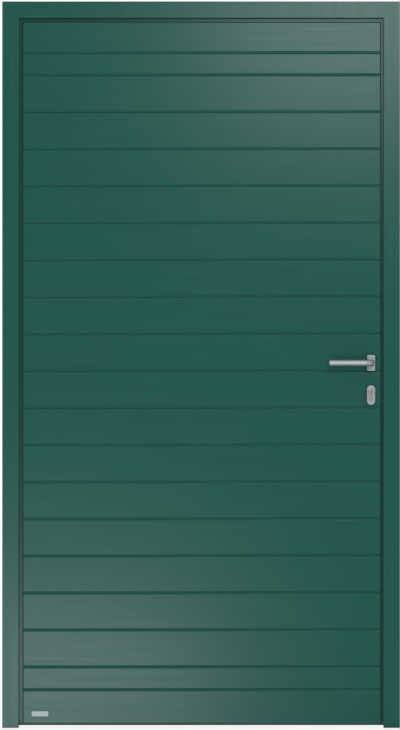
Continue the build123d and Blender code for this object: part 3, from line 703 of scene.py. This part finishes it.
def makePlate():
    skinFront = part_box("outer_skin")[0].y
    bm = bmesh.new()
    bmesh.ops.create_cube(bm, size=1)
    size = (plateLook["width"], plateLook["thickness"], plateLook["height"])
    bmesh.ops.scale(bm, vec=size, verts=bm.verts)
    corners = [
        e for e in bm.edges
        if abs(e.verts[0].co.y - e.verts[1].co.y) > 0.5 * plateLook["thickness"]
    ]
    bmesh.ops.bevel(
        bm, geom=corners, offset=plateLook["corner"], offset_type="OFFSET", affect="EDGES",
        segments=plateLook["cornerSteps"], profile=0.5, material=-1,
    )
    front = [f for f in bm.faces if f.normal.y < -facing]
    bmesh.ops.inset_region(bm, faces=front, thickness=plateLook["rim"])
    frontVerts = list(dict.fromkeys(v for f in front for v in f.verts))
    bmesh.ops.translate(bm, vec=(0, plateLook["sunk"], 0), verts=frontVerts)
    place = (plateLook["centreX"], skinFront - plateLook["thickness"] / 2, plateLook["centreZ"])
    bmesh.ops.translate(bm, vec=place, verts=bm.verts)
    piece = finishPiece("blank_plate", bm, satinPlate, "leaf")
    roundEdges(piece, plateLook["edge"])
    evenNormals(piece)


makePlate()
print("blank plate made")


# floor, world and lights

floorLook = {
    "size": 80.0,
    "shadowRadius": 1.6,     # from here outwards the door's shadow fades
    "whiteRadius": 4.5,      # from here on the floor is plain white
    "nearWhite": 0.85,       # how far it is white inside shadowRadius
    "colour": "#f4f4f4",
    "roughness": 0.8,
    "specular": 0.2,
}
floorMesh = bpy.data.meshes.new("studioFloor")
bm = bmesh.new()
bmesh.ops.create_grid(bm, x_segments=2, y_segments=2, size=floorLook["size"] / 2)
bm.to_mesh(floorMesh)
bm.free()
studioFloor = bpy.data.objects.new("studioFloor", floorMesh)
bpy.context.collection.objects.link(studioFloor)


def whiteToCamera(tree, share):
    # how far a surface shows as plain white, in the picture and in what metal and paint reflect
    light = addNode(tree, "ShaderNodeLightPath", {})
    seen = addNode(tree, "ShaderNodeMath", {
        0: light.outputs["Is Camera Ray"], 1: light.outputs["Is Glossy Ray"],
    }, operation="MAXIMUM")
    seen = addNode(tree, "ShaderNodeMath", {
        0: seen.outputs[0], 1: light.outputs["Is Transmission Ray"],
    }, operation="MAXIMUM")
    shown = addNode(tree, "ShaderNodeMath", {0: seen.outputs[0], 1: share}, operation="MULTIPLY")
    return shown.outputs[0]


# painted studio floor: near white and matt, keeps a light shadow by the door
# and is plain white further out
floorPaint, tree, principled = newFinish("studioFloorPaint", {
    "Base Color": linear(floorLook["colour"]),
    "Roughness": floorLook["roughness"],
    "Specular IOR Level": floorLook["specular"],
})
place = addNode(tree, "ShaderNodeTexCoord", {})
away = addNode(tree, "ShaderNodeVectorMath", {0: place.outputs["Object"]}, operation="LENGTH")
outward = addNode(tree, "ShaderNodeMapRange", {
    "Value": away.outputs["Value"],
    "From Min": floorLook["shadowRadius"], "From Max": floorLook["whiteRadius"],
    "To Min": floorLook["nearWhite"], "To Max": 1.0,
})
white = addNode(tree, "ShaderNodeEmission", {"Color": (1, 1, 1, 1), "Strength": 1.0})
mixed = addNode(tree, "ShaderNodeMixShader", {
    0: whiteToCamera(tree, outward.outputs[0]), 1: principled.outputs[0], 2: white.outputs[0],
})
tree.links.new(mixed.outputs[0], tree.nodes["Material Output"].inputs["Surface"])
studioFloor.data.materials.append(floorPaint)

roomLook = {"colour": (1, 1, 1, 1), "strength": 0.55}     # the light from all round
world = bpy.data.worlds.new("studioWorld")
bpy.context.scene.world = world
world.use_nodes = True
tree = world.node_tree
room = tree.nodes["Background"]
room.inputs["Color"].default_value = roomLook["colour"]
room.inputs["Strength"].default_value = roomLook["strength"]
white = addNode(tree, "ShaderNodeBackground", {"Color": (1, 1, 1, 1), "Strength": 1.0})
mixed = addNode(tree, "ShaderNodeMixShader", {
    0: whiteToCamera(tree, 1.0), 1: room.outputs[0], 2: white.outputs[0],
})
tree.links.new(mixed.outputs[0], tree.nodes["World Output"].inputs["Surface"])

# two far panels whose soft reflections lie over the top right and bottom left corners,
# and one behind
lampAim = Vector((0, 0, 1))
lamps = {
    "keyPanel": {"place": (0.72, -4.65, 2.67), "size": (1.25, 1.06), "power": 55},
    "lowPanel": {"place": (-0.74, -4.73, -0.36), "size": (1.54, 0.72), "power": 45},
    "behind": {"place": (0, 3.0, 3.6), "size": (3.0, 1.5), "power": 60},
}
for name, lamp in lamps.items():
    data = bpy.data.lights.new(name, "AREA")
    data.shape = "RECTANGLE"
    data.size, data.size_y = lamp["size"]
    data.energy = lamp["power"]
    item = bpy.data.objects.new(name, data)
    item.location = lamp["place"]
    towards = lampAim - Vector(lamp["place"])
    item.rotation_euler = towards.to_track_quat("-Z", "Y").to_euler()
    bpy.context.collection.objects.link(item)
    if name == "lowPanel":     # stands below the floor's level, so the floor isn't in its way
        passed = bpy.data.collections.new("passedByLowPanel")
        passed.objects.link(studioFloor)
        passed.collection_objects[0].light_linking.link_state = "EXCLUDE"
        item.light_linking.blocker_collection = passed
bpy.context.scene.view_settings.view_transform = "Standard"
print("stage set")
